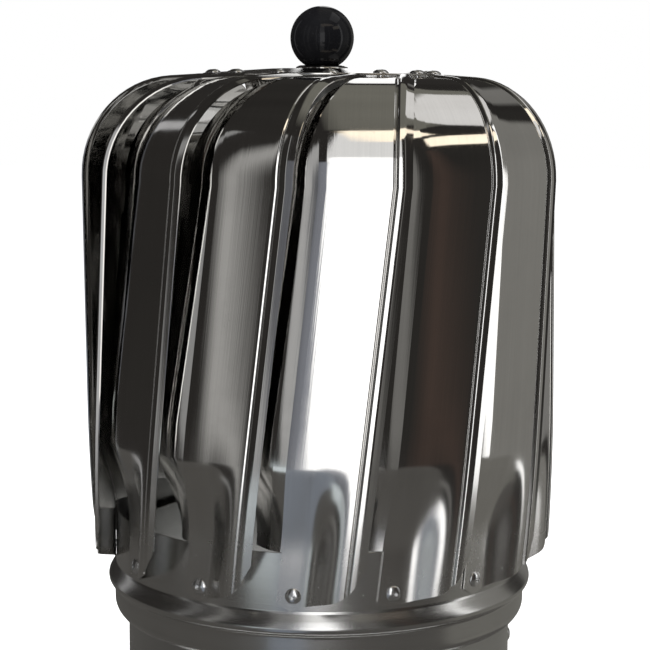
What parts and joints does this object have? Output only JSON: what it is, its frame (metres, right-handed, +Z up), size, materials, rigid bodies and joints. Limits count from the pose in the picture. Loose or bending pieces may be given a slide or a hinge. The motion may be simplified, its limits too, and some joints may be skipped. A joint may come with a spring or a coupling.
{
  "type": "roof turbine ventilator",
  "caption": "Roof turbine ventilator: a cowl of slanted riveted vanes under a capped plate with a ball knob, spinning on a fixed round flue spigot.",
  "frame": {"origin": "centre of the spigot's bottom edge", "axes": "+Z up along the spindle, +X towards the first arm's rivet, -Y towards the front"},
  "size_m": [0.3024, 0.3004, 0.4627],
  "materials": {
    "vane_sheet": "bright rolled stainless sheet",
    "ring_sheet": "bright rolled stainless sheet",
    "plate_sheet": "bright rolled stainless sheet",
    "spigot_sheet": "bright rolled stainless sheet",
    "rivet_metal": "plain set rivets",
    "knob_plastic": "black glossy moulded ball",
    "bar_steel": "flat bar and turned steel",
    "spindle_steel": "turned steel",
    "bearing_steel": "ground steel",
    "housing_metal": "turned alloy",
    "zinc_hardware": "zinc-plated"
  },
  "bodies": {
    "base": {"base_spigot": "spigot_sheet", "spider_hub": "bar_steel", "spider_arm_1": "bar_steel", "spider_arm_2": "bar_steel", "spider_arm_3": "bar_steel", "arm_rivets": "rivet_metal", "spindle": "spindle_steel", "spindle_lower_washer": "zinc_hardware", "spindle_lower_nut": "zinc_hardware", "lower_bearing_inner": "bearing_steel", "bearing_spacer": "spindle_steel", "upper_bearing_inner": "bearing_steel", "spindle_top_washer": "zinc_hardware", "spindle_top_nut": "zinc_hardware"},
    "rotor": {"rotor_ring": "ring_sheet", "top_plate": "plate_sheet", "band_rivets": "rivet_metal", "top_rivets": "rivet_metal", "stud_nut": "zinc_hardware", "housing_bolts": "zinc_hardware", "lower_bearing_outer": "bearing_steel", "upper_bearing_outer": "bearing_steel", "bearing_housing": "housing_metal", "housing_cap": "housing_metal", "knob_washer": "plate_sheet", "ball_knob": "knob_plastic", "knob_stud": "zinc_hardware", "vane_01": "vane_sheet", "vane_02": "vane_sheet", "vane_03": "vane_sheet", "vane_04": "vane_sheet", "vane_05": "vane_sheet", "vane_06": "vane_sheet", "vane_07": "vane_sheet", "vane_08": "vane_sheet", "vane_09": "vane_sheet", "vane_10": "vane_sheet", "vane_11": "vane_sheet", "vane_12": "vane_sheet", "vane_13": "vane_sheet", "vane_14": "vane_sheet"}
  },
  "joints": [
    {"name": "rotor_spin", "type": "hinge", "parent": "base", "child": "rotor", "pos_m": [0, 0, 0.375], "axis": [0, 0, 1], "continuous": true}
  ]
}
